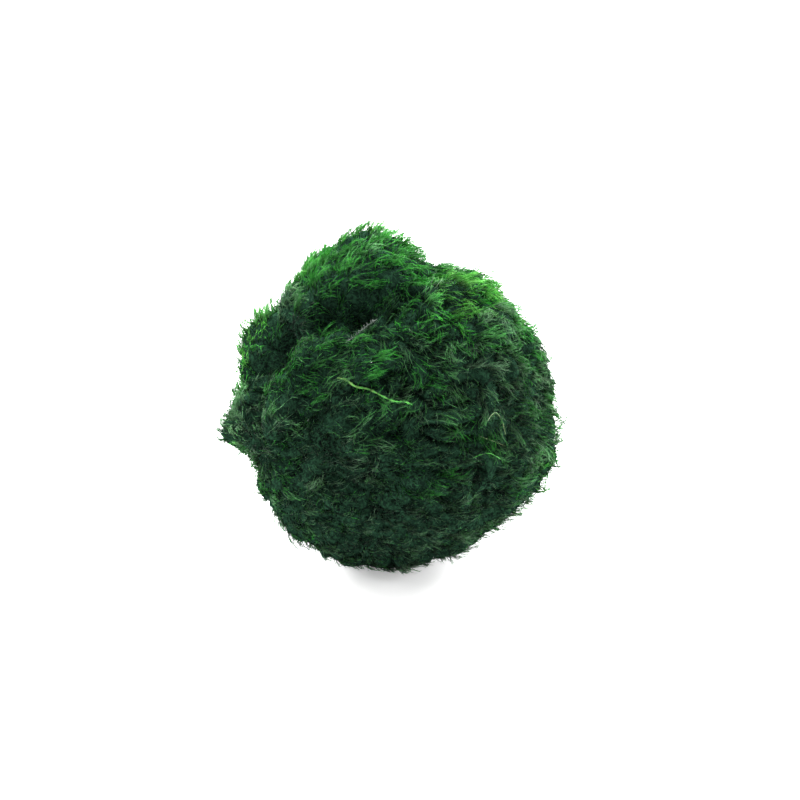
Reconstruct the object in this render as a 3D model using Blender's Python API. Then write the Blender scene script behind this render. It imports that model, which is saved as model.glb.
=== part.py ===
"""A marimo moss ball: one closed, lumpy ball of felted algae that rests on a small flat spot.

Metres, +Z up. The origin is the middle of the flat rest spot. The solid is the envelope of the
filament tips. Directions are given as an azimuth, counter-clockwise from +X seen from above, and an
elevation above the horizon. The front of the ball is -Y, azimuth 270.
"""
import math

import bmesh
import bpy
from mathutils import Vector, noise

# Driving dimensions
BALL_RADIUS = 0.0238       # mean radius over the filament tips
REST_DEPTH = 0.0009        # how far the soft ball is pressed flat where it rests
SUBDIVISIONS = 5           # icosphere steps: 5,120 facets of about 1.7 mm
SNAP_BAND = 0.00015        # facet corners this near the rest plane are put on it

# Fine relief: the filaments gather in tufts
TUFT_SPACING = 0.0042      # from one tuft to the next
TUFT_HEIGHT = 0.00050      # how far a tuft stands over or a gap sinks under the lumps
SWELL_SPACING = 0.0150     # broad swellings, where the ball grew unevenly
SWELL_HEIGHT = 0.00040

# Lumps and hollows: name, azimuth, elevation, half width in degrees, height in metres
RELIEF = (
    ("crown", 112, 66, 17, 0.0031),
    ("crown_front", 222, 78, 17, 0.0013),
    ("dip_right_of_crown", 52, 60, 14, -0.0030),
    ("dip_left_of_crown", 160, 38, 11, -0.0012),
    ("furrow_left", 227, 53, 8, -0.0014),
    ("furrow_middle", 249, 58, 8, -0.0015),
    ("furrow_right", 272, 61, 8, -0.0013),
    ("furrow_top", 256, 71, 7, -0.0008),
    ("upper_left_tuft", 167, 25, 8, 0.0015),
    ("upper_left_dip", 174, 10, 10, -0.0020),
    ("front_left_hollow", 205, 37, 13, -0.0015),
    ("front_left_ridge", 192, 22, 9, 0.0004),
    ("left_cheek", 185, -10, 11, 0.0030),
    ("left_undercut", 193, -25, 13, -0.0036),
    ("upper_right_dip", 22, 37, 12, -0.0012),
    ("right_bulge", 349, -20, 15, 0.0019),
    ("lower_right_dip", 334, -42, 10, -0.0007),
    ("lower_front_bulge", 236, -58, 18, 0.0009),
    ("front_bulge", 285, 25, 24, 0.0006),
    ("back_lump", 95, 14, 20, 0.0013),
    ("back_left_dip", 135, -12, 15, -0.0012),
    ("back_right_dip", 60, -20, 16, -0.0010),
    ("back_right_lump", 48, 12, 14, 0.0008),
)

MOSS_GREEN = (0.012, 0.060, 0.016, 1.0)
MOSS_ROUGHNESS = 0.85


def direction(azimuth, elevation):
    """The unit vector of an azimuth and an elevation in degrees."""
    around = math.radians(azimuth)
    above = math.radians(elevation)
    return Vector((math.cos(above) * math.cos(around), math.cos(above) * math.sin(around), math.sin(above)))


def relief_height(outward):
    """How far the surface stands over the mean radius in a direction."""
    height = 0.0
    for _, azimuth, elevation, half_width, lump in RELIEF:
        angle = math.degrees(outward.angle(direction(azimuth, elevation)))
        height += lump * math.exp(-(angle / half_width) ** 2)
    on_ball = outward * BALL_RADIUS
    height += SWELL_HEIGHT * noise.noise(on_ball / SWELL_SPACING)
    height += TUFT_HEIGHT * noise.noise(on_ball / TUFT_SPACING)
    return height


def remove_old_objects():
    for old in list(bpy.data.objects):
        bpy.data.objects.remove(old, do_unlink=True)


def moss_material():
    """Wet felted algae: a dark, saturated green with hardly any gloss."""
    material = bpy.data.materials.new("wet_algae_felt")
    material.use_nodes = True
    shader = material.node_tree.nodes["Principled BSDF"]
    shader.inputs["Base Color"].default_value = MOSS_GREEN
    shader.inputs["Roughness"].default_value = MOSS_ROUGHNESS
    shader.inputs["Metallic"].default_value = 0.0
    return material


def press_flat(ball):
    """Cuts the underside off on the rest plane, z = 0, and closes it with one flat face."""
    for vertex in ball.verts:
        if abs(vertex.co.z) < SNAP_BAND:
            vertex.co.z = 0.0
    everything = ball.verts[:] + ball.edges[:] + ball.faces[:]
    bmesh.ops.bisect_plane(ball, geom=everything, plane_co=(0, 0, 0), plane_no=(0, 0, 1),
                           dist=1e-7, clear_inner=True)
    rim = [edge for edge in ball.edges if edge.is_boundary]
    bmesh.ops.contextual_create(ball, geom=rim)


def make_moss_ball():
    ball = bmesh.new()
    bmesh.ops.create_icosphere(ball, subdivisions=SUBDIVISIONS, radius=1.0)
    middle = Vector((0, 0, BALL_RADIUS - REST_DEPTH))
    for vertex in ball.verts:
        outward = vertex.co.normalized()
        vertex.co = middle + outward * (BALL_RADIUS + relief_height(outward))
    press_flat(ball)
    bmesh.ops.recalc_face_normals(ball, faces=ball.faces)

    mesh = bpy.data.meshes.new("moss_ball")
    ball.to_mesh(mesh)
    ball.free()
    mesh.materials.append(moss_material())
    moss_ball = bpy.data.objects.new("moss_ball", mesh)
    bpy.context.scene.collection.objects.link(moss_ball)


remove_old_objects()
make_moss_ball()
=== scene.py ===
import math
import bmesh
import bpy
import numpy as np
from mathutils import Matrix, Vector, noise
from mathutils.bvhtree import BVHTree


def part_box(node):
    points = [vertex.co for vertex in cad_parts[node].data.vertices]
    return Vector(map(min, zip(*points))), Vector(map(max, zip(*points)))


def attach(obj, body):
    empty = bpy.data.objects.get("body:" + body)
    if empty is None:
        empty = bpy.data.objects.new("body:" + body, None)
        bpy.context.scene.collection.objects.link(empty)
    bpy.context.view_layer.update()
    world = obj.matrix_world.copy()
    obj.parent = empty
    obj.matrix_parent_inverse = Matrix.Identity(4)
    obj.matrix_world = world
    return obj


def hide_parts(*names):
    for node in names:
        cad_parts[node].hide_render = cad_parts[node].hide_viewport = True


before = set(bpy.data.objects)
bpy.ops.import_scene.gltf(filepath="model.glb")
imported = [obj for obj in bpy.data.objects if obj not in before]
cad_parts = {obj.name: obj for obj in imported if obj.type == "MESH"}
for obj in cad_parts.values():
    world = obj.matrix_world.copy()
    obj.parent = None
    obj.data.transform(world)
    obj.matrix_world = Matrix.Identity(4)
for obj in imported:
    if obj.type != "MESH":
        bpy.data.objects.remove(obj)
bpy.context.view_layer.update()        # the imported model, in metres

mm = 0.001
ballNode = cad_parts["moss_ball"]
lowCorner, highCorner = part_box("moss_ball")
ballMiddle = Vector((0, 0, (lowCorner.z + highCorner.z) / 2))
ballRadius = (highCorner.z - lowCorner.z) / 2
print("frame loaded: ball", [round(side / mm, 1) for side in highCorner - lowCorner], "mm")


def linearColour(hexCode):
    # sRGB hex to the linear colour that a shader takes
    channels = [int(hexCode[i:i + 2], 16) / 255 for i in (1, 3, 5)]
    return [c / 12.92 if c <= 0.04045 else ((c + 0.055) / 1.055) ** 2.4 for c in channels] + [1.0]


def compass(azimuth, elevation):
    # azimuth runs from +X round to +Y in degrees, so the front of the ball is at 270
    around, above = math.radians(azimuth), math.radians(elevation)
    return Vector((math.cos(above) * math.cos(around), math.cos(above) * math.sin(around), math.sin(above)))


def addNode(tree, kind, settings=None, links=None):
    # a setting is an input's value where the node has such an input, and else one of its own properties
    node = tree.nodes.new(kind)
    for name, value in (settings or {}).items():
        if name in node.inputs:
            node.inputs[name].default_value = value
        else:
            setattr(node, name, value)
    for name, source in (links or {}).items():
        tree.links.new(source, node.inputs[name])
    return node


def newMaterial(name):
    material = bpy.data.materials.new(name)
    material.use_nodes = True
    material.node_tree.nodes.clear()
    return material, material.node_tree


def setStops(ramp, stops):
    elements = ramp.color_ramp.elements
    while len(elements) < len(stops):
        elements.new(0.5)
    for element, (place, colour) in zip(elements, stops):
        element.position = place
        element.color = colour


def unit(vectors):
    return vectors / np.linalg.norm(vectors, axis=-1, keepdims=True)


# wet green algae, by its tone from 0 to 1
filamentLook = dict(
    oldGrey="#19231e",         # old, shaded filaments, a little bluish
    deepGreen="#203225",
    midGreen="#2d4c33",
    freshGreen="#487a4b",      # filaments that get the most light
    paleTip="#88b070",
    toneStops=(0.0, 0.25, 0.5, 0.8, 1.0),      # where those five lie
    rootShade=0.14,            # roots hold this share of the tip's brightness
    shadeSpan=(0.05, 0.85),    # and it rises along this part of the filament
    throughLight="#82cc74",    # light that comes through a thin wet filament
    lowToneThrough=0.03,           # filaments of the lowest tone, old ones and those in painted shade, let this share of it through
    clearTone=0.8,             # from this tone on, all of it comes through
    throughShare=0.56,
    greySteps=4,               # filaments come in this many steps from fresh green to aged grey green
    freshRichness=1.19, agedRichness=0.66,
    freshHue=0.5, agedHue=0.515,
    roughness=0.55, ior=1.38, specular=0.05)


def wetAlgaeFilament():
    # Cladophora filaments, wet: one cell thick, so light comes through them and the tips glow
    look = filamentLook
    material, tree = newMaterial("wet_algae_filament")
    where = addNode(tree, "ShaderNodeUVMap", dict(uv_map="OFBake"))
    split = addNode(tree, "ShaderNodeSeparateXYZ", links=dict(Vector=where.outputs["UV"]))
    tone = addNode(tree, "ShaderNodeValToRGB", links=dict(Fac=split.outputs["X"]))
    greens = ("oldGrey", "deepGreen", "midGreen", "freshGreen", "paleTip")
    setStops(tone, [(stop, linearColour(look[green])) for stop, green in zip(look["toneStops"], greens)])
    # the map is in strips, one for each step of greyness, and each strip runs from root to tip
    strips = addNode(tree, "ShaderNodeMapRange", {"To Max": look["greySteps"]},
                     dict(Value=split.outputs["Y"]))
    alongIt = addNode(tree, "ShaderNodeMath", dict(operation="FRACT"),
                      dict(Value=strips.outputs["Result"]))
    greyStep = addNode(tree, "ShaderNodeMath", dict(operation="FLOOR"),
                       dict(Value=strips.outputs["Result"]))
    richness = addNode(tree, "ShaderNodeMapRange",
                       {"From Max": look["greySteps"] - 1, "To Min": look["freshRichness"],
                        "To Max": look["agedRichness"]}, dict(Value=greyStep.outputs["Value"]))
    hue = addNode(tree, "ShaderNodeMapRange",
                  {"From Max": look["greySteps"] - 1, "To Min": look["freshHue"],
                   "To Max": look["agedHue"]}, dict(Value=greyStep.outputs["Value"]))
    ageing = dict(Hue=hue.outputs["Result"], Saturation=richness.outputs["Result"])
    # roots are shaded by the filaments around them
    shade = addNode(tree, "ShaderNodeMapRange",
                    {"From Min": look["shadeSpan"][0], "From Max": look["shadeSpan"][1],
                     "To Min": look["rootShade"], "To Max": 1.0}, dict(Value=alongIt.outputs["Value"]))
    surface = addNode(tree, "ShaderNodeVectorMath", dict(operation="SCALE"),
                      dict(Vector=tone.outputs["Color"], Scale=shade.outputs["Result"]))
    aged = addNode(tree, "ShaderNodeHueSaturation",
                   links=dict(Color=surface.outputs["Vector"], **ageing))
    skin = addNode(tree, "ShaderNodeBsdfPrincipled",
                   {"Roughness": look["roughness"], "IOR": look["ior"],
                    "Specular IOR Level": look["specular"]}, {"Base Color": aged.outputs["Color"]})
    # the light that comes through, less of it at low tone, in old filaments and in painted shade, and at
    # the roots, under the painted root shade
    throughByTone = addNode(tree, "ShaderNodeMapRange",
                       {"From Max": look["clearTone"], "To Min": look["lowToneThrough"], "To Max": 1.0},
                       dict(Value=split.outputs["X"]))
    strength = addNode(tree, "ShaderNodeMath", dict(operation="MULTIPLY"))
    tree.links.new(shade.outputs["Result"], strength.inputs[0])
    tree.links.new(throughByTone.outputs["Result"], strength.inputs[1])
    throughColour = addNode(tree, "ShaderNodeVectorMath", dict(operation="SCALE"),
                            dict(Scale=strength.outputs["Value"]))
    throughColour.inputs[0].default_value = linearColour(look["throughLight"])[:3]
    agedGlow = addNode(tree, "ShaderNodeHueSaturation",
                       links=dict(Color=throughColour.outputs["Vector"], **ageing))
    glow = addNode(tree, "ShaderNodeBsdfTranslucent", links=dict(Color=agedGlow.outputs["Color"]))
    both = addNode(tree, "ShaderNodeMixShader", dict(Fac=look["throughShare"]))
    tree.links.new(skin.outputs["BSDF"], both.inputs[1])
    tree.links.new(glow.outputs["BSDF"], both.inputs[2])
    addNode(tree, "ShaderNodeOutputMaterial", links=dict(Surface=both.outputs["Shader"]))
    return material


# the felt between the tufts
feltLook = dict(
    gapBlack="#060b09",        # between filaments, where light doesn't reach
    packedGreen="#112319",
    threadGreen="#1b3324",     # single filaments lying on top of the felt
    threadSpacing=0.9 * mm,    # real ones lie closer, too fine to show
    fineShare=0.6,             # a second, finer layer of them
    fineShift=0.013,           # which starts elsewhere in the pattern
    threadHeight=0.1 * mm, threadStrength=0.7,
    patchSpacing=3.0 * mm,
    roughness=0.9, specular=0.0)


def tangle(tree, where, spacing, shift):
    # thin winding lines, where a noise pattern crosses its middle value, like filaments felted together
    moved = addNode(tree, "ShaderNodeMapping", dict(Location=(shift, shift, shift)),
                    dict(Vector=where.outputs["Object"]))
    waves = addNode(tree, "ShaderNodeTexNoise",
                    dict(Scale=1 / spacing, Detail=1.5, Roughness=0.5, Distortion=0.6),
                    dict(Vector=moved.outputs["Vector"]))
    line = addNode(tree, "ShaderNodeValToRGB", links=dict(Fac=waves.outputs["Fac"]))
    setStops(line, ((0.44, (0, 0, 0, 1)), (0.49, (1, 1, 1, 1)), (0.51, (1, 1, 1, 1)), (0.56, (0, 0, 0, 1))))
    return line


def feltedAlgae():
    # algae felt: old filaments packed tight, which look nearly black green where light doesn't reach
    look = feltLook
    material, tree = newMaterial("felted_algae")
    where = addNode(tree, "ShaderNodeTexCoord")
    wide = tangle(tree, where, look["threadSpacing"], 0.0)
    fine = tangle(tree, where, look["threadSpacing"] * look["fineShare"], look["fineShift"])
    threads = addNode(tree, "ShaderNodeMath", dict(operation="MAXIMUM"))
    tree.links.new(wide.outputs["Color"], threads.inputs[0])
    tree.links.new(fine.outputs["Color"], threads.inputs[1])
    patch = addNode(tree, "ShaderNodeTexNoise",
                    dict(Scale=1 / look["patchSpacing"], Detail=4.0, Roughness=0.65),
                    dict(Vector=where.outputs["Object"]))
    packed = addNode(tree, "ShaderNodeValToRGB", links=dict(Fac=patch.outputs["Fac"]))
    setStops(packed, ((0.35, linearColour(look["gapBlack"])),
                      (0.7, linearColour(look["packedGreen"]))))
    colour = addNode(tree, "ShaderNodeMix", dict(data_type="RGBA", blend_type="MIX"))
    colour.inputs[7].default_value = linearColour(look["threadGreen"])
    tree.links.new(threads.outputs["Value"], colour.inputs[0])
    tree.links.new(packed.outputs["Color"], colour.inputs[6])
    ridge = addNode(tree, "ShaderNodeBump",
                    dict(Strength=look["threadStrength"], Distance=look["threadHeight"]),
                    dict(Height=threads.outputs["Value"]))
    skin = addNode(tree, "ShaderNodeBsdfPrincipled",
                   {"Roughness": look["roughness"], "Specular IOR Level": look["specular"]},
                   {"Base Color": colour.outputs[2], "Normal": ridge.outputs["Normal"]})
    addNode(tree, "ShaderNodeOutputMaterial", links=dict(Surface=skin.outputs["BSDF"]))
    return material


# the felted mass that the tufts grow from
felt = dict(inset=0.80 * mm,       # filament tips stand this far over the felt
            rounds=2, smoothing=0.5,   # each round halves the facets and softens them
            clumpSpacing=4.3 * mm, clumpHeight=1.2 * mm,
            creaseSpacing=2.6 * mm, creaseStretch=1.7, creaseWidth=0.12, creaseDepth=1.5 * mm,
            openSpacing=7.5 * mm,      # creases open and close over this distance
            openMiddle=0.5, openSwing=1.6, openLeast=0.15,
            knotSpacing=0.8 * mm, knotHeight=0.2 * mm,
            groundGap=0.5 * mm)

# in the lists of places, each has its azimuth, elevation, half width in degrees and value

# places where the ball folds in, by this much more
folds = ((226, 49, 5, 1.8 * mm), (239, 54, 5, 1.8 * mm), (252, 58, 5, 1.9 * mm), (272, 58, 4.5, 1.5 * mm),
         (255, 67, 4, 1.2 * mm), (205, 34, 7, 3.9 * mm), (208, 27, 6, 3.2 * mm), (215, 30, 5, 1.6 * mm),
         (245, 6, 7, 1.0 * mm), (300, -4, 7, 1.2 * mm), (266, -14, 7, 0.9 * mm), (276, 27, 4, 0.7 * mm))

# places that stand higher or lower without being a fold
swells = ((12, 70, 8, -1.2 * mm), (270, -52, 18, -0.25 * mm), (60, 80, 9, -0.8 * mm),
          (203, -15, 7, -0.8 * mm), (154, 50, 12, 0.4 * mm), (228, -32, 18, 1.0 * mm),
          (326, -32, 20, 0.6 * mm), (176, 25, 9, 0.9 * mm))

# places painted lighter or darker than the rest, as a change of tone: painted light along the lit left
# edge, the top and the right edge, painted shade in the hollow at the left and in the folds, and both
# across the front
paintedLightAndShade = ((168, 30, 8, 0.40), (187, 27, 7, 0.66), (193, 17, 6, 0.56), (193, 8, 6, 0.44),
               (195, -2, 6, 0.40), (200, -13, 7, 0.40), (212, -22, 7, 0.32), (170, 48, 10, 0.22),
               (168, 66, 9, 0.18), (110, 78, 12, 0.18), (300, 74, 14, 0.06),
               (340, 62, 12, 0.26), (355, 50, 9, 0.36), (352, 36, 7, 0.32), (346, 18, 6, 0.32),
               (348, 4, 6, 0.36), (341, -9, 7, 0.42), (334, -20, 7, 0.42), (326, -32, 8, 0.34),
               (312, -42, 8, 0.16), (252, 47, 5, 0.14),
               (206, 33, 9, -1.1), (216, 28, 7, -0.55), (229, 38, 7, -0.12), (210, 41, 6, -0.25),
               (244, 55, 10, -0.06), (245, 6, 11, -0.14), (300, -4, 10, -0.18),
               (216, -12, 10, -0.10), (264, -18, 22, -0.06), (290, 40, 12, 0.14), (268, 17, 14, 0.08),
               (316, 20, 9, -0.26), (322, 6, 7, -0.12), (318, 54, 11, 0.46), (335, 10, 8, 0.15))

# places where the filaments are greyer, with age or silt, or fresher
greyPatches = ((308, 32, 11, 0.30), (315, 8, 14, 0.20), (195, 2, 14, 0.25), (215, -18, 14, 0.15),
               (275, -48, 22, 0.20), (255, 62, 16, -0.20), (222, 44, 8, -0.20), (90, 0, 60, -0.30))

# places where the filaments stand up more, as a share of their lean
raised = ((176, 24, 14, 0.50), (192, 0, 12, 0.40), (202, -16, 9, 0.25), (150, 55, 14, 0.20),
          (110, 78, 12, 0.35), (345, 50, 16, 0.20), (345, 0, 12, 0.25), (332, -28, 14, 0.30))


def addedUp(spots, outward):
    # each spot's value fades out around its middle
    total = 0.0
    for azimuth, elevation, halfWidth, value in spots:
        angle = math.degrees(outward.angle(compass(azimuth, elevation)))
        total += value * math.exp(-(angle / halfWidth) ** 2)
    return total


def clumpRise(outward):
    return felt["clumpHeight"] * noise.noise(outward * ballRadius / felt["clumpSpacing"])


def creaseAt(outward):
    # narrow winding creases part the tufts, longer across the ball than up it
    # the value is 1 in a crease and 0 away from it
    place = outward * ballRadius / felt["creaseSpacing"]
    place.x, place.y = place.x / felt["creaseStretch"], place.y / felt["creaseStretch"]
    swing = felt["openSwing"] * noise.noise(outward * ballRadius / felt["openSpacing"])
    opened = min(1.0, max(felt["openLeast"], felt["openMiddle"] + swing))
    return opened * math.exp(-(noise.noise(place) / felt["creaseWidth"]) ** 2)


def makeFeltedMass():
    ball = bmesh.new()
    ball.from_mesh(ballNode.data)
    bmesh.ops.remove_doubles(ball, verts=ball.verts, dist=0.01 * mm)
    for step in range(felt["rounds"]):
        bmesh.ops.subdivide_edges(ball, edges=ball.edges, cuts=1, use_grid_fill=True)
        bmesh.ops.smooth_vert(ball, verts=ball.verts, factor=felt["smoothing"],
                              use_axis_x=True, use_axis_y=True, use_axis_z=True)
    for vert in ball.verts:
        outward = (vert.co - ballMiddle).normalized()
        rise = clumpRise(outward) - felt["creaseDepth"] * creaseAt(outward) + addedUp(swells, outward)
        rise += felt["knotHeight"] * noise.noise(vert.co / felt["knotSpacing"])
        vert.co += outward * (rise - felt["inset"] - addedUp(folds, outward))
        vert.co.z = max(vert.co.z, felt["groundGap"])
    bmesh.ops.recalc_face_normals(ball, faces=ball.faces)
    return ball


# one filament with its side branches; drawn thicker than a real one, which wouldn't show
sprig = dict(kinds=5, radius=0.056 * mm, tipShare=0.4, steps=4,
             branches=3, branchRadius=0.045 * mm,
             branchReach=0.30 * mm, reachRange=(0.6, 1.3),
             branchRun=0.34, runRange=(0.7, 1.3),      # shares of the filament's length
             lowestBranch=0.12, branchSpan=0.68, branchJitter=0.8)

flow = dict(rise=0.15, arch=0.5, lean=0.4,      # combed from left to right, in an arch over the ball
            swirl=0.85, swirlSpacing=6.0 * mm, swirlOffsets=((0, 0, 0), (19, 7, 3), (5, 23, 11)),
            whorl=(281, 53), whorlReach=15, whorlPull=1.0)

# places where the combing turns aside, in degrees
turned = ((302, 15, 9, -70), (232, -6, 8, 35), (262, 36, 6, 25))

undergrowth = dict(seed=11, tufts=3800, sprigsPerTuft=2.6, spread=0.38 * mm,
                   length=2.4 * mm, lengthSpread=0.24, flyaways=0.01, width=1.0,
                   tuftTurn=26, sprigTurn=18, tuftCurl=24, sprigCurl=18, wave=0.12 * mm,
                   footLean=44, tipLean=96, leanSpread=11, gather=0.35, tone=0.48, toneSpread=0.09)

locks = dict(seed=12, tufts=1500, sprigsPerTuft=7.0, spread=0.46 * mm,
             length=3.9 * mm, lengthSpread=0.26, flyaways=0.01, width=0.92,
             tuftTurn=18, sprigTurn=7, tuftCurl=26, sprigCurl=9, wave=0.14 * mm,
             footLean=38, tipLean=106, leanSpread=8, gather=0.82, tone=0.58, toneSpread=0.09)

# new growth standing up through the rest, which catches the light at the ball's edge
nap = dict(seed=13, tufts=1450, sprigsPerTuft=2.2, spread=0.34 * mm,
           length=1.9 * mm, lengthSpread=0.22, flyaways=0.0, width=0.85,
           tuftTurn=60, sprigTurn=40, tuftCurl=30, sprigCurl=30, wave=0.10 * mm,
           footLean=10, tipLean=48, leanSpread=14, gather=0.25, tone=0.52, toneSpread=0.11)

# places where the filaments are short, as a share of their length
cropped = ((176, 28, 11, 0.30), (190, 12, 10, 0.35), (196, -6, 8, 0.30), (212, 32, 8, 0.50),
           (229, 38, 7, 0.30))

# single tufts that stand up like a paintbrush
spikes = ((171, 52, 3, 1.0), (167, 37, 3, 1.0), (176, 29, 2.5, 1.0), (192, 10, 2.5, 1.0),
          (193, -3, 3, 1.0), (200, -12, 2.5, 1.0), (120, 79, 3, 1.0), (95, 78, 3, 1.0),
          (68, 76, 2.5, 1.0), (356, 53, 2.5, 1.0), (350, 30, 2.5, 1.0), (338, -14, 3, 1.0),
          (331, -26, 3, 1.0), (348, 12, 2.5, 1.0))

# how a tuft answers to its place on the ball
habit = dict(placeJitter=0.025,
             whorlMess=1.2, messReach=25,          # looser combing this many degrees around the whorl
             whorlLean=0.75, fullLeanAt=120,       # flatter the farther from the whorl
             mostRaised=0.5, mostCropped=0.6,
             spikeEdge=0.35, spikeLean=0.35,
             fullFold=1.5 * mm,                    # a fold this deep counts in full
             foldShort=0.55, ridgeLong=0.30, creaseShort=0.40, belowShort=0.55, leastLength=0.25)

# how its tone answers: random patches and single filaments vary it, and painted light and shade make it
# lighter on ridges and towards the top and darker in creases and folds
toneAndPaintedLight = dict(patches=0.20, patchSpacing=7 * mm, ridge=0.18, crease=0.24, height=0.10, fold=0.20,
              mostAlone=0.66, most=0.88, single=0.03)

# how its greyness answers
greying = dict(middle=0.52, height=0.36, patches=0.9, patchSpacing=6 * mm, patchOffset=(7, 7, 7),
               knots=0.5, knotSpacing=1.5 * mm, single=0.4, singleSpacing=0.8 * mm)

# how each filament differs from its tuft
variety = dict(upFromFelt=0.4, upFromMiddle=0.6, footLean=6, tipLean=8, lengthRange=(0.6, 1.15),
               shortest=0.8 * mm, longest=1.25, widthRange=(0.8, 1.2),
               flyawayFoot=22, flyawayTip=40, flyawayLength=0.75)

outsideReach = 0.1             # metres from the ball's middle, past every filament
filamentGroundGap = 0.10 * mm
gatherBend = 1.3               # tips draw together late along the filament


def pullThread(shape, radius, length, steps, tipShare, sides=3):
    # a thread that tapers to a point, drawn up from its foot step by step
    ring = bmesh.ops.create_circle(shape, cap_ends=True, segments=sides, radius=radius)
    end = ring["verts"][0].link_faces[0]
    for step in range(1, steps + 1):
        pulled = bmesh.ops.extrude_face_region(shape, geom=[end])
        corners = [part for part in pulled["geom"] if isinstance(part, bmesh.types.BMVert)]
        end = next(part for part in pulled["geom"] if isinstance(part, bmesh.types.BMFace))
        bmesh.ops.translate(shape, verts=corners, vec=(0, 0, length / steps))
        shrink = tipShare ** (1 / steps)
        bmesh.ops.scale(shape, verts=corners, vec=(shrink, shrink, 1.0))
    bmesh.ops.pointmerge(shape, verts=corners, merge_co=(0, 0, length))


def makeSprig(seed):
    # it is 1 long here, and its width is in metres
    rng = np.random.default_rng(seed)
    shape = bmesh.new()
    pullThread(shape, sprig["radius"], 1.0, sprig["steps"], sprig["tipShare"])
    for branch in range(sprig["branches"]):
        around = rng.uniform(0, 2 * math.pi)
        order = branch + rng.uniform(0, sprig["branchJitter"])
        foot = sprig["lowestBranch"] + sprig["branchSpan"] * order / sprig["branches"]
        run = sprig["branchRun"] * rng.uniform(*sprig["runRange"])
        reach = sprig["branchReach"] * rng.uniform(*sprig["reachRange"])
        spike = bmesh.ops.create_cone(shape, cap_ends=True, segments=3,
                                      radius1=sprig["branchRadius"], radius2=0.0, depth=run,
                                      matrix=Matrix.Translation((0, 0, foot + run / 2)))
        tips = [vert for vert in spike["verts"] if vert.co.z > foot + run / 2]
        tip = (reach * math.cos(around), reach * math.sin(around), foot + run)
        bmesh.ops.pointmerge(shape, verts=tips, merge_co=tip)
    bmesh.ops.triangulate(shape, faces=shape.faces)
    bmesh.ops.recalc_face_normals(shape, faces=shape.faces)
    shape.verts.index_update()
    corners = np.array([vert.co for vert in shape.verts])
    faces = np.array([[vert.index for vert in face.verts] for face in shape.faces])
    shape.free()
    return corners, faces


def surfacePoint(tree, direction):
    # the place and the normal of the surface that lies this way from the ball's middle
    start = ballMiddle + direction * outsideReach
    return tree.ray_cast(start, -direction)[:2]


def flowDirection(place, outward):
    # combed in an arch, parted at the whorl beside the crown, with slow swirls
    whorl = compass(*flow["whorl"])
    nearWhorl = math.exp(-(math.degrees(outward.angle(whorl)) / flow["whorlReach"]) ** 2)
    way = Vector((1, 0, flow["rise"] - flow["arch"] * outward.x - flow["lean"] * outward.z))
    way += flow["whorlPull"] * nearWhorl * (outward - whorl).normalized()
    here = place / flow["swirlSpacing"]
    way += flow["swirl"] * Vector([noise.noise(here + Vector(offset)) for offset in flow["swirlOffsets"]])
    way -= outward * way.dot(outward)
    return Matrix.Rotation(math.radians(addedUp(turned, outward)), 3, outward) @ way.normalized()


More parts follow.
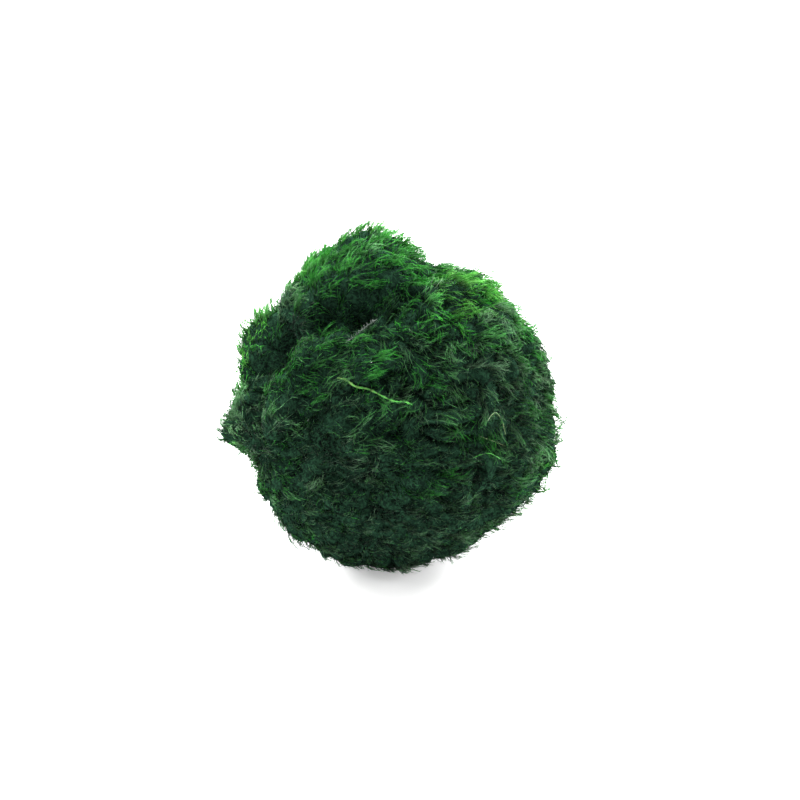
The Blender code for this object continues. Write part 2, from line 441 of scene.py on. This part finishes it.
def growTufts(feltTree, growth):
    rng = np.random.default_rng(growth["seed"])
    whorl = compass(*flow["whorl"])
    golden = math.pi * (3 - math.sqrt(5))      # the golden angle, which spreads the tufts evenly
    sprigs = []
    for tuft in range(growth["tufts"]):
        height = 1 - 2 * (tuft + 0.5) / growth["tufts"]
        ringRadius = math.sqrt(1 - height ** 2)
        around = golden * tuft
        outward = Vector((ringRadius * math.cos(around), ringRadius * math.sin(around), height))
        outward = (outward + habit["placeJitter"] * Vector(rng.normal(size=3))).normalized()
        place, normal = surfacePoint(feltTree, outward)
        fromWhorl = math.degrees(outward.angle(whorl))
        mess = 1 + habit["whorlMess"] * math.exp(-fromWhorl / habit["messReach"])
        turn = rng.normal(0, growth["tuftTurn"] * mess)
        across = Matrix.Rotation(math.radians(turn), 3, outward) @ flowDirection(place, outward)
        laid = min(1.0, habit["whorlLean"] + fromWhorl / habit["fullLeanAt"])
        laid *= 1 - min(habit["mostRaised"], addedUp(raised, outward))
        lift = rng.normal(0, growth["leanSpread"])
        standing = addedUp(spikes, outward) > habit["spikeEdge"]
        if standing:
            laid, lift = habit["spikeLean"], 0.0
        below = max(0.0, -outward.z)
        inFold = min(1.0, addedUp(folds, outward) / habit["fullFold"])
        onRidge = clumpRise(outward) / felt["clumpHeight"]
        crease = creaseAt(outward)
        tuftLength = growth["length"] * (1 + growth["lengthSpread"] * rng.normal())
        vigour = (1 - habit["foldShort"] * inFold + habit["ridgeLong"] * onRidge
                  - habit["creaseShort"] * crease)
        tuftLength *= max(habit["leastLength"], vigour) * (1 - habit["belowShort"] * below)
        if standing:
            tuftLength = min(tuftLength, growth["length"])
        else:
            tuftLength *= 1 - min(habit["mostCropped"], addedUp(cropped, outward))
        # the tone is random patches and spread, plus painted light on ridges, towards the top and on the
        # lit patches, and painted shade in creases, folds and the shaded patches
        tuftTone = (growth["tone"] + toneAndPaintedLight["patches"] * noise.noise(place / toneAndPaintedLight["patchSpacing"])
                    + toneAndPaintedLight["ridge"] * onRidge - toneAndPaintedLight["crease"] * crease
                    + toneAndPaintedLight["height"] * outward.z)
        tuftTone += growth["toneSpread"] * rng.normal()
        tuftTone = (min(tuftTone, toneAndPaintedLight["mostAlone"]) + addedUp(paintedLightAndShade, outward)
                    - toneAndPaintedLight["fold"] * inFold)
        tuftTone = min(tuftTone, toneAndPaintedLight["most"])
        patch = noise.noise(place / greying["patchSpacing"] + Vector(greying["patchOffset"]))
        knot = noise.noise(place / greying["knotSpacing"])
        tuftGrey = greying["middle"] - greying["height"] * outward.z + greying["patches"] * patch
        tuftGrey += greying["knots"] * knot + addedUp(greyPatches, outward)
        tuftCurl = rng.normal(0, growth["tuftCurl"])
        for each in range(rng.poisson(growth["sprigsPerTuft"] - 1) + 1):
            jitter = Vector(rng.normal(0, growth["spread"], 3))
            nearby = (place - ballMiddle + jitter).normalized()
            foot, footNormal = surfacePoint(feltTree, nearby)
            up = (variety["upFromFelt"] * footNormal + variety["upFromMiddle"] * nearby).normalized()
            side = (across - up * across.dot(up)).normalized()
            side = Matrix.Rotation(math.radians(rng.normal(0, growth["sprigTurn"])), 3, up) @ side
            footLean = laid * growth["footLean"] + lift + rng.normal(0, variety["footLean"])
            tipLean = laid * growth["tipLean"] + lift + rng.normal(0, variety["tipLean"])
            length = max(variety["shortest"], tuftLength * rng.uniform(*variety["lengthRange"]))
            length = min(length, variety["longest"] * growth["length"])
            if rng.random() < growth["flyaways"] * (1 - below):
                footLean -= variety["flyawayFoot"]
                tipLean -= variety["flyawayTip"]
                length *= variety["flyawayLength"]
            twist = rng.uniform(0, 2 * math.pi)
            width = growth["width"] * rng.uniform(*variety["widthRange"])
            tone = tuftTone + toneAndPaintedLight["single"] * rng.normal()
            grey = tuftGrey + greying["single"] * noise.noise(foot / greying["singleSpacing"])
            curl = math.radians(tuftCurl + rng.normal(0, growth["sprigCurl"]))
            sprigs.append(dict(foot=foot, up=up, side=side, middle=place, outward=outward,
                               footLean=math.radians(footLean), tipLean=math.radians(tipLean),
                               length=length, turn=twist, width=width, tone=tone, grey=grey,
                               gather=growth["gather"], wave=growth["wave"], curl=curl))
    return sprigs


def layOut(sprigs, corners):
    # bends one sprig's corners along every filament's curve
    along = corners[:, 2][None, :, None]
    foot, up, side, middle = (sprigs[name][:, None, :] for name in ("foot", "up", "side", "middle"))
    one = {name: sprigs[name][:, None, None] for name in
           ("footLean", "tipLean", "length", "turn", "width", "gather", "wave", "curl")}
    sideways = np.cross(up, side)
    curled = np.cos(one["curl"]) * side + np.sin(one["curl"]) * sideways
    startWay = np.cos(one["footLean"]) * up + np.sin(one["footLean"]) * side
    endWay = np.cos(one["tipLean"]) * up + np.sin(one["tipLean"]) * curled
    spine = foot + one["length"] * (startWay * along + (endWay - startWay) * along ** 2 / 2)
    spine = spine + one["wave"] * np.sin(2 * math.pi * along + one["turn"]) * along * sideways
    ahead = unit(startWay + (endWay - startWay) * along)
    # wet tips draw towards the middle of their tuft
    towards = middle - foot
    towards = towards - ahead * np.sum(towards * ahead, axis=-1, keepdims=True)
    spine = spine + one["gather"] * along ** gatherBend * towards
    spine[..., 2] = np.maximum(spine[..., 2], filamentGroundGap)
    across = unit(np.cross(ahead, up + 0.001))     # the nudge keeps it off zero where ahead is up
    over = np.cross(across, ahead)
    x, y = corners[:, 0][None, :, None] * one["width"], corners[:, 1][None, :, None] * one["width"]
    cosine, sine = np.cos(one["turn"]), np.sin(one["turn"])
    placed = spine + (x * cosine - y * sine) * across + (x * sine + y * cosine) * over
    placed[..., 2] = np.maximum(placed[..., 2], 0.0)
    return placed


# the map that a filament's colour is read from, with u for tone and v for greyness and height
filamentMap = dict(toneMargin=0.02, sliver=0.004, stripMargin=0.02, stripSpan=0.96, greyMost=0.999)


def joinedMesh(name, sprigs, templates, material):
    points, faces, coords = [], [], []
    count = 0
    kinds = np.arange(len(sprigs["tone"])) % len(templates)
    for kind, (corners, triangles) in enumerate(templates):
        chosen = {key: values[kinds == kind] for key, values in sprigs.items()}
        placed = layOut(chosen, corners)
        shift = count + len(corners) * np.arange(len(placed))[:, None, None]
        points.append(placed.reshape(-1, 3))
        faces.append((triangles[None] + shift).reshape(-1, 3))
        count += placed.shape[0] * placed.shape[1]
        # tone runs across the map and the way from root to tip runs up each strip of it
        margin, greySteps = filamentMap["toneMargin"], filamentLook["greySteps"]
        nudge = np.array([0.0, 1.0, 2.0])[None, None, :] * filamentMap["sliver"]
        u = np.clip(chosen["tone"], margin, 1 - margin)[:, None, None] + nudge
        u = np.broadcast_to(u, (len(placed), len(triangles), 3))
        strip = np.floor(np.clip(chosen["grey"], 0.0, filamentMap["greyMost"]) * greySteps)[:, None, None]
        height = np.clip(corners[:, 2][triangles], 0.0, 1.0)[None]
        v = (strip + filamentMap["stripMargin"] + filamentMap["stripSpan"] * height) / greySteps
        coords.append(np.stack((u, v), axis=-1).reshape(-1, 2))
    points, faces, coords = np.concatenate(points), np.concatenate(faces), np.concatenate(coords)
    mesh = bpy.data.meshes.new(name)
    mesh.from_pydata(points, [], faces)
    layer = mesh.uv_layers.new(name="OFBake")
    layer.uv.foreach_set("vector", coords.ravel())
    mesh.polygons.foreach_set("use_smooth", np.ones(len(faces), dtype=bool))
    mesh.materials.append(material)
    mesh.update()
    return showPiece(name, mesh)


def showPiece(name, mesh):
    piece = bpy.data.objects.new(name, mesh)
    bpy.context.scene.collection.objects.link(piece)
    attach(piece, "root")
    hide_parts("moss_ball")
    return piece


feltShape = makeFeltedMass()
feltTree = BVHTree.FromBMesh(feltShape)
feltMesh = bpy.data.meshes.new("felted_mass")
feltShape.to_mesh(feltMesh)
feltShape.free()
feltMesh.polygons.foreach_set("use_smooth", np.ones(len(feltMesh.polygons), dtype=bool))
feltMesh.materials.append(feltedAlgae())
showPiece("felted_mass", feltMesh)
print("felted mass:", len(feltMesh.polygons), "triangles")

grown = [one for growth in (undergrowth, locks, nap) for one in growTufts(feltTree, growth)]
sprigs = {key: np.array([one[key] for one in grown]) for key in grown[0]}
templates = [makeSprig(seed) for seed in range(sprig["kinds"])]
print("sprigs:", len(grown), "of", [len(faces) for _, faces in templates], "triangles")

# the filaments are split into a crown, an underside and four quarters between them
capElevation = 38
filament = wetAlgaeFilament()
outward = sprigs["outward"]
elevation = np.degrees(np.arcsin(outward[:, 2]))
quarter = ((np.degrees(np.arctan2(outward[:, 1], outward[:, 0])) + 45) % 360 // 90).astype(int)
parts = {"crown_filaments": elevation > capElevation, "underside_filaments": elevation < -capElevation}
for index, name in enumerate(("right", "back", "left", "front")):
    parts[name + "_filaments"] = (abs(elevation) <= capElevation) & (quarter == index)
total = len(feltMesh.polygons)
pieces = {}
for name, chosen in parts.items():
    own = {key: values[chosen] for key, values in sprigs.items()}
    pieces[name] = joinedMesh(name, own, templates, filament)
    total += len(pieces[name].data.polygons)
    print(name, len(pieces[name].data.polygons), "triangles")
print("all pieces:", total, "triangles")


# loose filaments: each lies on the tufts along its route of azimuths and elevations
paleStrand = dict(name="pale_strand",
                  route=((248, 29.8), (252, 29.5), (256, 27.7), (261, 27.2), (266, 25.2),
                         (271, 23.3), (275, 23.0), (278, 21.7)),
                  radius=0.17 * mm, knobble=0.7, lie=0.25 * mm,
                  hairs=34, hairLength=0.30 * mm, hairRadius=0.06 * mm)
greyStrand = dict(name="grey_strand", route=((247, 43), (249, 47), (252, 51), (256, 54.5), (260, 56)),
                  radius=0.06 * mm, knobble=1.1, lie=0.5 * mm,
                  hairs=90, hairLength=0.45 * mm, hairRadius=0.035 * mm)
tanHook = dict(name="tan_hook", route=((303.5, 13), (307, 14.5), (310, 13.5), (312, 10), (313, 5)),
               radius=0.052 * mm, knobble=0.2, lie=0.4 * mm, hairs=0)
paleHook = dict(name="pale_hook", route=((301, -1.8), (304, -0.4), (307, -0.6), (310.5, -3.5)),
                radius=0.07 * mm, knobble=0.25, lie=0.35 * mm,
                hairs=4, hairLength=0.2 * mm, hairRadius=0.05 * mm)
rightThread = dict(name="right_thread", route=((301, 8), (307, 4.5), (314, 0)),
                   radius=0.04 * mm, knobble=0.2, lie=0.3 * mm, hairs=0)

# what all of them share
strandBuild = dict(steps=40, sides=7, tipShare=0.5,
                   footTaper=0.35, taperRate=6,          # they thicken quickly from a thin foot
                   knobbles=24,                          # thick and thin places along one
                   levelHalf=5,                          # its height is evened out over these steps
                   hairSpan=(0.04, 0.96), hairLean=(0.7, 1.5), hairRange=(0.6, 1.3),
                   hairTip=0.004 * mm)

looseLook = dict(cellSpacing=0.7 * mm, ageingRange=(-0.05, 0.25), colourStops=(0.3, 0.5, 0.7),
                 bumpStrength=0.4, bumpHeight=0.05 * mm, roughness=0.5, specular=0.3)

waterBeads = dict(places=((272, 10), (262, 36), (294, 13), (236, 12), (324, 26), (288, -9)),
                  radius=0.17 * mm, smallest=0.8, sizeStep=0.3, squash=(1.0, 0.9, 0.72),
                  footSpread=0.25, rise=0.1 * mm)

waterLook = dict(tint="#eef6f2", roughness=0.03, ior=1.33)

evenedOver = 0.006             # radians each way that the tufts' height is averaged over


def strayFilament(name, darker, lighter, tip, greening=None):
    # algae that has come loose and bleached; its cells make light and dark lengths along it
    look = looseLook
    material, tree = newMaterial(name)
    where = addNode(tree, "ShaderNodeTexCoord")
    cells = addNode(tree, "ShaderNodeTexNoise",
                    dict(Scale=1 / look["cellSpacing"], Detail=3.0, Roughness=0.6),
                    dict(Vector=where.outputs["Object"]))
    mix = cells.outputs["Fac"]
    if greening:
        # it turns greener towards its tip, between these two places along X
        across = addNode(tree, "ShaderNodeSeparateXYZ", links=dict(Vector=where.outputs["Object"]))
        ageing = addNode(tree, "ShaderNodeMapRange",
                         {"From Min": greening[0], "From Max": greening[1],
                          "To Min": look["ageingRange"][0], "To Max": look["ageingRange"][1]},
                         dict(Value=across.outputs["X"]))
        total = addNode(tree, "ShaderNodeMath", dict(operation="ADD"),
                        {0: mix, 1: ageing.outputs["Result"]})
        mix = total.outputs["Value"]
    colour = addNode(tree, "ShaderNodeValToRGB", links=dict(Fac=mix))
    shades = (darker, lighter, tip)
    setStops(colour, [(stop, linearColour(shade)) for stop, shade in zip(look["colourStops"], shades)])
    bump = addNode(tree, "ShaderNodeBump",
                   dict(Strength=look["bumpStrength"], Distance=look["bumpHeight"]),
                   dict(Height=cells.outputs["Fac"]))
    skin = addNode(tree, "ShaderNodeBsdfPrincipled",
                   {"Roughness": look["roughness"], "Specular IOR Level": look["specular"]},
                   {"Base Color": colour.outputs["Color"], "Normal": bump.outputs["Normal"]})
    addNode(tree, "ShaderNodeOutputMaterial", links=dict(Surface=skin.outputs["BSDF"]))
    return material


def clearWater():
    # water left in small beads, which catch the light as points
    material, tree = newMaterial("clear_water")
    skin = addNode(tree, "ShaderNodeBsdfPrincipled",
                   {"Base Color": linearColour(waterLook["tint"]), "Roughness": waterLook["roughness"],
                    "IOR": waterLook["ior"], "Transmission Weight": 1.0})
    addNode(tree, "ShaderNodeOutputMaterial", links=dict(Surface=skin.outputs["BSDF"]))
    return material


def tuftTop(trees, direction):
    # how far the tufts reach from the ball's middle this way, averaged over a small patch
    reaches = []
    for x, z in ((0, 0), (1, 0), (-1, 0), (0, 1), (0, -1)):
        way = (direction + evenedOver * Vector((x, 0, z))).normalized()
        hits = [tree.ray_cast(ballMiddle + way * outsideReach, -way)[3] for tree in trees]
        reaches.append(outsideReach - min(hit for hit in hits if hit is not None))
    return sum(reaches) / len(reaches)


def smoothRoute(stops, share):
    # a smooth curve through the stops
    spans = len(stops) - 1
    span = min(int(share * spans), spans - 1)
    t = share * spans - span
    before, start, end, after = (stops[min(max(span + k, 0), spans)] for k in (-1, 0, 1, 2))
    return 0.5 * (2 * start + (end - before) * t + (2 * before - 5 * start + 4 * end - after) * t ** 2
                  + (3 * start - before - 3 * end + after) * t ** 3)


def layStrand(strand, trees, material, seed):
    build = strandBuild
    steps, half = build["steps"], build["levelHalf"]
    rng = np.random.default_rng(seed)
    stops = [compass(*stop) for stop in strand["route"]]
    ways = [smoothRoute(stops, step / steps).normalized() for step in range(steps + 1)]
    reach = np.array([tuftTop(trees, way) for way in ways])
    window = 2 * half + 1
    level = np.convolve(np.pad(reach, half, mode="edge"), np.ones(window) / window, mode="valid")
    spine = [ballMiddle + way * float(high + strand["lie"]) for way, high in zip(ways, level)]
    length = sum((after - before).length for before, after in zip(spine, spine[1:]))
    shape = bmesh.new()
    pullThread(shape, strand["radius"], length, steps, build["tipShare"], sides=build["sides"])
    for vert in shape.verts:
        share = vert.co.z / length
        lumps = strand["knobble"] * noise.noise(Vector((share * build["knobbles"], seed, 0)))
        taper = min(1.0, build["footTaper"] + build["taperRate"] * share) * (1 + lumps * 2)
        vert.co.x, vert.co.y = vert.co.x * taper, vert.co.y * taper
    for hair in range(strand["hairs"]):
        place = Matrix.Translation((0, 0, length * rng.uniform(*build["hairSpan"])))
        place = place @ Matrix.Rotation(rng.uniform(0, 2 * math.pi), 4, "Z")
        place = place @ Matrix.Rotation(rng.uniform(*build["hairLean"]), 4, "Y")
        reachOut = strand["hairLength"] * rng.uniform(*build["hairRange"])
        bmesh.ops.create_cone(shape, cap_ends=True, segments=3, radius1=strand["hairRadius"],
                              radius2=build["hairTip"], depth=reachOut,
                              matrix=place @ Matrix.Translation((0, 0, reachOut / 2)))
    # the straight thread is bent along its route
    for vert in shape.verts:
        along = min(max(vert.co.z / length, 0.0), 1.0) * steps
        step = min(int(along), steps - 1)
        middle = spine[step].lerp(spine[step + 1], along - step)
        ahead = (spine[min(step + 2, steps)] - spine[max(step - 1, 0)]).normalized()
        up = ways[step]
        side = ahead.cross(up).normalized()
        vert.co = middle + side * vert.co.x + side.cross(ahead) * vert.co.y
    bmesh.ops.recalc_face_normals(shape, faces=shape.faces)
    mesh = bpy.data.meshes.new(strand["name"])
    shape.to_mesh(mesh)
    shape.free()
    mesh.polygons.foreach_set("use_smooth", np.ones(len(mesh.polygons), dtype=bool))
    mesh.materials.append(material)
    showPiece(strand["name"], mesh)
    print(strand["name"], round(length / mm, 1), "mm long")


def setBeads(trees, material):
    shape = bmesh.new()
    for index, (azimuth, elevation) in enumerate(waterBeads["places"]):
        way = compass(azimuth, elevation)
        turn = way.to_track_quat("Z", "Y").to_matrix().to_4x4()
        radius = waterBeads["radius"] * (waterBeads["smallest"] + waterBeads["sizeStep"] * (index % 3) / 2)
        bead = bmesh.ops.create_icosphere(shape, subdivisions=3, radius=radius)
        bmesh.ops.scale(shape, verts=bead["verts"], vec=waterBeads["squash"])
        for vert in bead["verts"]:
            # its foot spreads a little over the filaments
            spread = 1 + waterBeads["footSpread"] * max(0.0, -vert.co.z / radius)
            vert.co.x, vert.co.y = vert.co.x * spread, vert.co.y * spread
        place = ballMiddle + way * (tuftTop(trees, way) + waterBeads["rise"])
        bmesh.ops.transform(shape, verts=bead["verts"], matrix=Matrix.Translation(place) @ turn)
    mesh = bpy.data.meshes.new("water_beads")
    shape.to_mesh(mesh)
    shape.free()
    mesh.polygons.foreach_set("use_smooth", np.ones(len(mesh.polygons), dtype=bool))
    mesh.materials.append(material)
    showPiece("water_beads", mesh)


depsgraph = bpy.context.evaluated_depsgraph_get()
tuftTrees = [feltTree] + [BVHTree.FromObject(pieces[name + "_filaments"], depsgraph)
                          for name in ("crown", "front", "left", "right")]
yellowed = strayFilament("yellowed_algae_filament", "#406a34", "#648646", "#4fa846", (-8 * mm, 3 * mm))
bleached = strayFilament("bleached_algae_filament", "#3d4f46", "#808c84", "#a5aea7")
tanned = strayFilament("tanned_algae_filament", "#42603a", "#6a7c52", "#568a4e")
strands = ((paleStrand, yellowed), (greyStrand, bleached), (tanHook, tanned),
           (paleHook, yellowed), (rightThread, tanned))
for seed, (strand, material) in enumerate(strands):
    layStrand(strand, tuftTrees, material, seed)
setBeads(tuftTrees, clearWater())
print("water beads:", len(waterBeads["places"]))


# a pale paper floor and soft light
studio = dict(floorSize=3.0, floorColour="#f4f4f4", floorRoughness=0.9,
              floorGlow=0.3,       # the paper is lit a little from below
              worldColour="#ffffff", worldStrength=0.75)

# each softbox has its place, its size in metres and its watts
softboxes = dict(top_softbox=((0.0, 0.15, 0.75), (0.9, 0.7), 21.0),
                 back_left_softbox=((-0.47, 0.69, 0.29), (0.5, 0.5), 46.0),
                 back_right_softbox=((0.42, 0.72, 0.28), (0.5, 0.5), 46.0),
                 left_strip_softbox=((-0.80, 0.22, 0.10), (0.15, 0.4), 12.0),
                 right_strip_softbox=((0.80, 0.22, 0.10), (0.15, 0.4), 12.0))

view = dict(azimuth=270, elevation=25, distance=0.3258, aim=(0.00114, -0.00012, 0.02374),
            lens=100, sensor=36, clipStart=0.01)


def whitePaper():
    # matt white paper, which gives only a soft shadow
    material, tree = newMaterial("white_paper")
    white = linearColour(studio["floorColour"])
    skin = addNode(tree, "ShaderNodeBsdfPrincipled",
                   {"Base Color": white, "Roughness": studio["floorRoughness"],
                    "Specular IOR Level": 0.0, "Emission Color": white,
                    "Emission Strength": studio["floorGlow"]})
    addNode(tree, "ShaderNodeOutputMaterial", links=dict(Surface=skin.outputs["BSDF"]))
    return material


def makeFloor():
    shape = bmesh.new()
    bmesh.ops.create_grid(shape, x_segments=1, y_segments=1, size=studio["floorSize"] / 2)
    mesh = bpy.data.meshes.new("floor")
    shape.to_mesh(mesh)
    shape.free()
    mesh.materials.append(whitePaper())
    floor = bpy.data.objects.new("floor", mesh)
    bpy.context.scene.collection.objects.link(floor)


def softbox(name, place, size, power):
    data = bpy.data.lights.new(name, "AREA")
    data.shape = "RECTANGLE"
    data.size, data.size_y = size
    data.energy = power
    light = bpy.data.objects.new(name, data)
    bpy.context.scene.collection.objects.link(light)
    light.location = place
    light.rotation_euler = (ballMiddle - light.location).to_track_quat("-Z", "Y").to_euler()


def lightStudio():
    world = bpy.data.worlds.new("studio")
    bpy.context.scene.world = world
    world.use_nodes = True
    sky = world.node_tree.nodes["Background"]
    sky.inputs["Color"].default_value = linearColour(studio["worldColour"])
    sky.inputs["Strength"].default_value = studio["worldStrength"]
    for name, (place, size, power) in softboxes.items():
        softbox(name, place, size, power)


def placeCamera():
    data = bpy.data.cameras.new("camera")
    data.lens, data.sensor_width = view["lens"], view["sensor"]
    data.clip_start = view["clipStart"]
    camera = bpy.data.objects.new("camera", data)
    bpy.context.scene.collection.objects.link(camera)
    aim = Vector(view["aim"])
    camera.location = aim + compass(view["azimuth"], view["elevation"]) * view["distance"]
    camera.rotation_euler = (aim - camera.location).to_track_quat("-Z", "Y").to_euler()
    bpy.context.scene.camera = camera


makeFloor()
lightStudio()
placeCamera()
bpy.context.scene.view_settings.view_transform = "Standard"
print("floor, light and camera set")
